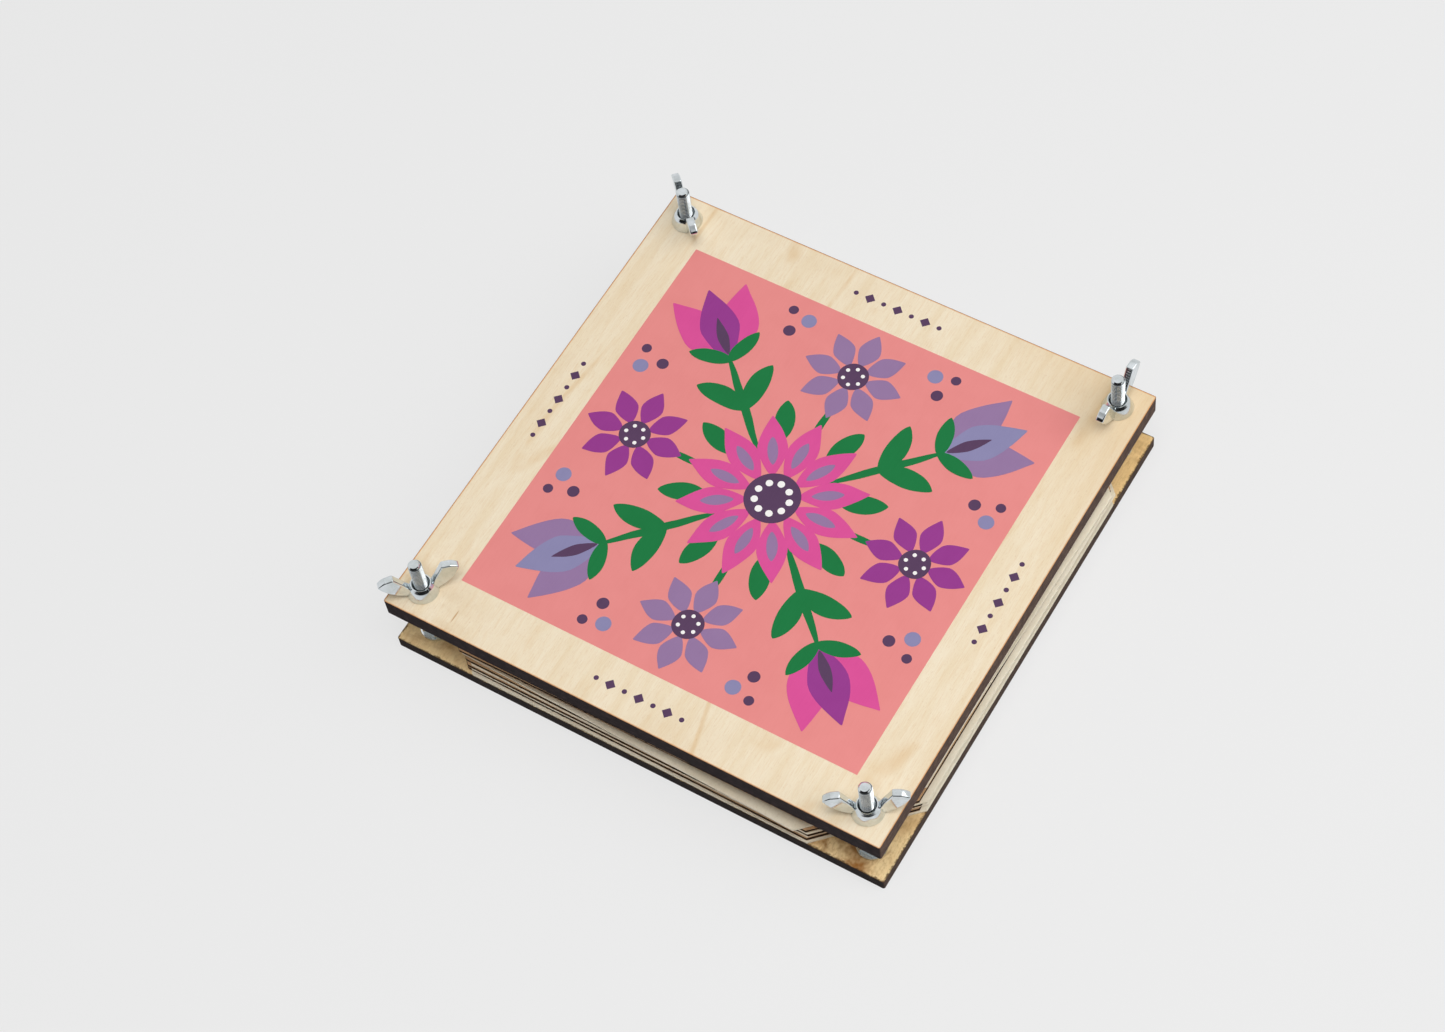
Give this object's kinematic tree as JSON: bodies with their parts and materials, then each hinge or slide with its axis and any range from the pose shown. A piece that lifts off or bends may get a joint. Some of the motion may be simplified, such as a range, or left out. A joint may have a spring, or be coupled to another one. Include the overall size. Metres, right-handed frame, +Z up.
{
  "type": "flower press",
  "caption": "Square plywood flower press: two boards squeeze a stack of blotting sheets and corrugated cards, drawn together by corner bolts with wing nuts.",
  "frame": {"origin": "centre of the bottom board's underside, on the surface the press stands on", "axes": "+Z up, along the bolts; -Y towards the front edge, where the cards' flutes are open; +X to the right"},
  "size_m": [0.163, 0.1646, 0.0401],
  "materials": {
    "top_plywood": "sanded birch plywood with a printed panel, laser-cut edges charred brown",
    "bottom_plywood": "bare birch plywood, laser-cut edges charred dark brown, scorch marks",
    "zinc": "bright zinc plating",
    "kraft_card": "uncoated brown kraft corrugated card",
    "blotting_paper": "matt cream blotting paper"
  },
  "bodies": {
    "base": {"bottom_board": "bottom_plywood", "bolt_front_left": "zinc", "bolt_front_right": "zinc", "bolt_back_right": "zinc", "bolt_back_left": "zinc", "washer_front_left": "zinc", "washer_front_right": "zinc", "washer_back_right": "zinc", "washer_back_left": "zinc", "hex_nut_front_left": "zinc", "hex_nut_front_right": "zinc", "hex_nut_back_right": "zinc", "hex_nut_back_left": "zinc"},
    "top_board": {"top_board": "top_plywood"},
    "wing_nut_front_left": {"wing_nut_front_left": "zinc"},
    "wing_nut_front_right": {"wing_nut_front_right": "zinc"},
    "wing_nut_back_right": {"wing_nut_back_right": "zinc"},
    "wing_nut_back_left": {"wing_nut_back_left": "zinc"},
    "blotter_1": {"blotter_1": "blotting_paper"},
    "card_1": {"card_1": "kraft_card"},
    "blotter_2": {"blotter_2": "blotting_paper"},
    "card_2": {"card_2": "kraft_card"},
    "blotter_3": {"blotter_3": "blotting_paper"},
    "card_3": {"card_3": "kraft_card"},
    "blotter_4": {"blotter_4": "blotting_paper"},
    "card_4": {"card_4": "kraft_card"},
    "blotter_5": {"blotter_5": "blotting_paper"},
    "card_5": {"card_5": "kraft_card"},
    "blotter_6": {"blotter_6": "blotting_paper"},
    "card_6": {"card_6": "kraft_card"},
    "blotter_7": {"blotter_7": "blotting_paper"}
  },
  "joints": [
    {"name": "top_board_lift", "type": "slide", "parent": "base", "child": "top_board", "axis": [0, 0, 1], "range_m": [0, 0.014]},
    {"name": "wing_nut_front_left_turn", "type": "hinge", "parent": "top_board", "child": "wing_nut_front_left", "pos_m": [-0.0718, -0.0718, 0.0257], "axis": [0, 0, 1], "range_deg": [0, 7200]},
    {"name": "wing_nut_front_right_turn", "type": "hinge", "parent": "top_board", "child": "wing_nut_front_right", "pos_m": [0.0718, -0.0718, 0.0257], "axis": [0, 0, 1], "range_deg": [0, 7200]},
    {"name": "wing_nut_back_right_turn", "type": "hinge", "parent": "top_board", "child": "wing_nut_back_right", "pos_m": [0.0718, 0.0718, 0.0257], "axis": [0, 0, 1], "range_deg": [0, 7200]},
    {"name": "wing_nut_back_left_turn", "type": "hinge", "parent": "top_board", "child": "wing_nut_back_left", "pos_m": [-0.0718, 0.0718, 0.0257], "axis": [0, 0, 1], "range_deg": [0, 7200]},
    {"name": "blotter_1_lift", "type": "slide", "parent": "base", "child": "blotter_1", "axis": [0, 0, 1], "range_m": [0, 0.001]},
    {"name": "card_1_lift", "type": "slide", "parent": "base", "child": "card_1", "axis": [0, 0, 1], "range_m": [0, 0.002]},
    {"name": "blotter_2_lift", "type": "slide", "parent": "base", "child": "blotter_2", "axis": [0, 0, 1], "range_m": [0, 0.003]},
    {"name": "card_2_lift", "type": "slide", "parent": "base", "child": "card_2", "axis": [0, 0, 1], "range_m": [0, 0.004]},
    {"name": "blotter_3_lift", "type": "slide", "parent": "base", "child": "blotter_3", "axis": [0, 0, 1], "range_m": [0, 0.005]},
    {"name": "card_3_lift", "type": "slide", "parent": "base", "child": "card_3", "axis": [0, 0, 1], "range_m": [0, 0.006]},
    {"name": "blotter_4_lift", "type": "slide", "parent": "base", "child": "blotter_4", "axis": [0, 0, 1], "range_m": [0, 0.007]},
    {"name": "card_4_lift", "type": "slide", "parent": "base", "child": "card_4", "axis": [0, 0, 1], "range_m": [0, 0.008]},
    {"name": "blotter_5_lift", "type": "slide", "parent": "base", "child": "blotter_5", "axis": [0, 0, 1], "range_m": [0, 0.009]},
    {"name": "card_5_lift", "type": "slide", "parent": "base", "child": "card_5", "axis": [0, 0, 1], "range_m": [0, 0.01]},
    {"name": "blotter_6_lift", "type": "slide", "parent": "base", "child": "blotter_6", "axis": [0, 0, 1], "range_m": [0, 0.011]},
    {"name": "card_6_lift", "type": "slide", "parent": "base", "child": "card_6", "axis": [0, 0, 1], "range_m": [0, 0.012]},
    {"name": "blotter_7_lift", "type": "slide", "parent": "base", "child": "blotter_7", "axis": [0, 0, 1], "range_m": [0, 0.013]}
  ],
  "couplings": [
    {"joint": "wing_nut_front_left_turn", "follows": "top_board_lift", "rad_per_m": 8976},
    {"joint": "wing_nut_front_right_turn", "follows": "top_board_lift", "rad_per_m": 8976},
    {"joint": "wing_nut_back_right_turn", "follows": "top_board_lift", "rad_per_m": 8976},
    {"joint": "wing_nut_back_left_turn", "follows": "top_board_lift", "rad_per_m": 8976},
    {"joint": "blotter_1_lift", "follows": "top_board_lift", "ratio": 0.071429},
    {"joint": "card_1_lift", "follows": "top_board_lift", "ratio": 0.14286},
    {"joint": "blotter_2_lift", "follows": "top_board_lift", "ratio": 0.21429},
    {"joint": "card_2_lift", "follows": "top_board_lift", "ratio": 0.28571},
    {"joint": "blotter_3_lift", "follows": "top_board_lift", "ratio": 0.35714},
    {"joint": "card_3_lift", "follows": "top_board_lift", "ratio": 0.42857},
    {"joint": "blotter_4_lift", "follows": "top_board_lift", "ratio": 0.5},
    {"joint": "card_4_lift", "follows": "top_board_lift", "ratio": 0.57143},
    {"joint": "blotter_5_lift", "follows": "top_board_lift", "ratio": 0.64286},
    {"joint": "card_5_lift", "follows": "top_board_lift", "ratio": 0.71429},
    {"joint": "blotter_6_lift", "follows": "top_board_lift", "ratio": 0.78571},
    {"joint": "card_6_lift", "follows": "top_board_lift", "ratio": 0.85714},
    {"joint": "blotter_7_lift", "follows": "top_board_lift", "ratio": 0.92857}
  ]
}
